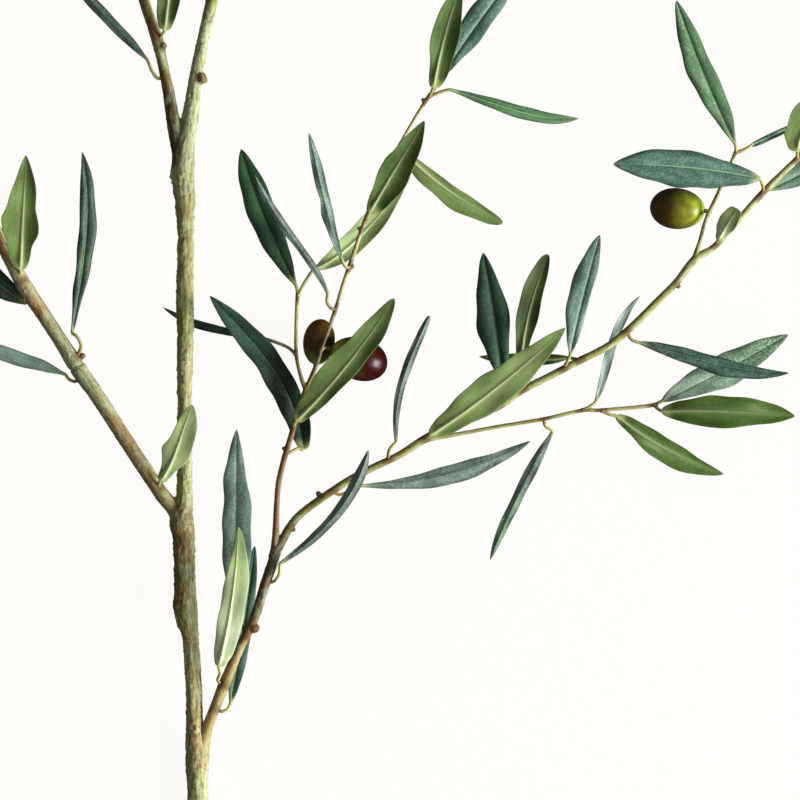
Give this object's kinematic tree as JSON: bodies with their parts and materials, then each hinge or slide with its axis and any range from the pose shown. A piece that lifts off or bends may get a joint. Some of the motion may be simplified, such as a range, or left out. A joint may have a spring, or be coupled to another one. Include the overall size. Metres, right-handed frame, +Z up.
{
  "type": "olive branch with fruit",
  "caption": "Cut olive branch lying flat, with a forked woody stem, slender leaves dark above and pale beneath, and ripening glossy fruit on short stalks.",
  "frame": {"origin": "on the surface that the branch lies on, under the middle of its outline seen from above", "axes": "+Y up the main stem from its cut end to its growing end, +X to the side that carries the fruit, +Z up off the surface"},
  "size_m": [0.4746, 0.5087, 0.0423],
  "materials": {
    "bark": "matte",
    "foliage": "satin",
    "fruit_skin": "gloss"
  },
  "bodies": {
    "root": {"main_stem": "bark", "leader_shoot": "foliage", "top_left_shoot": "foliage", "left_branch": "foliage", "right_branch": "foliage", "long_twig": "foliage", "fruit_twig": "foliage", "lower_twig": "foliage", "upper_twig": "foliage", "olive_1": "fruit_skin", "olive_2": "fruit_skin", "olive_3": "fruit_skin"}
  },
  "joints": []
}
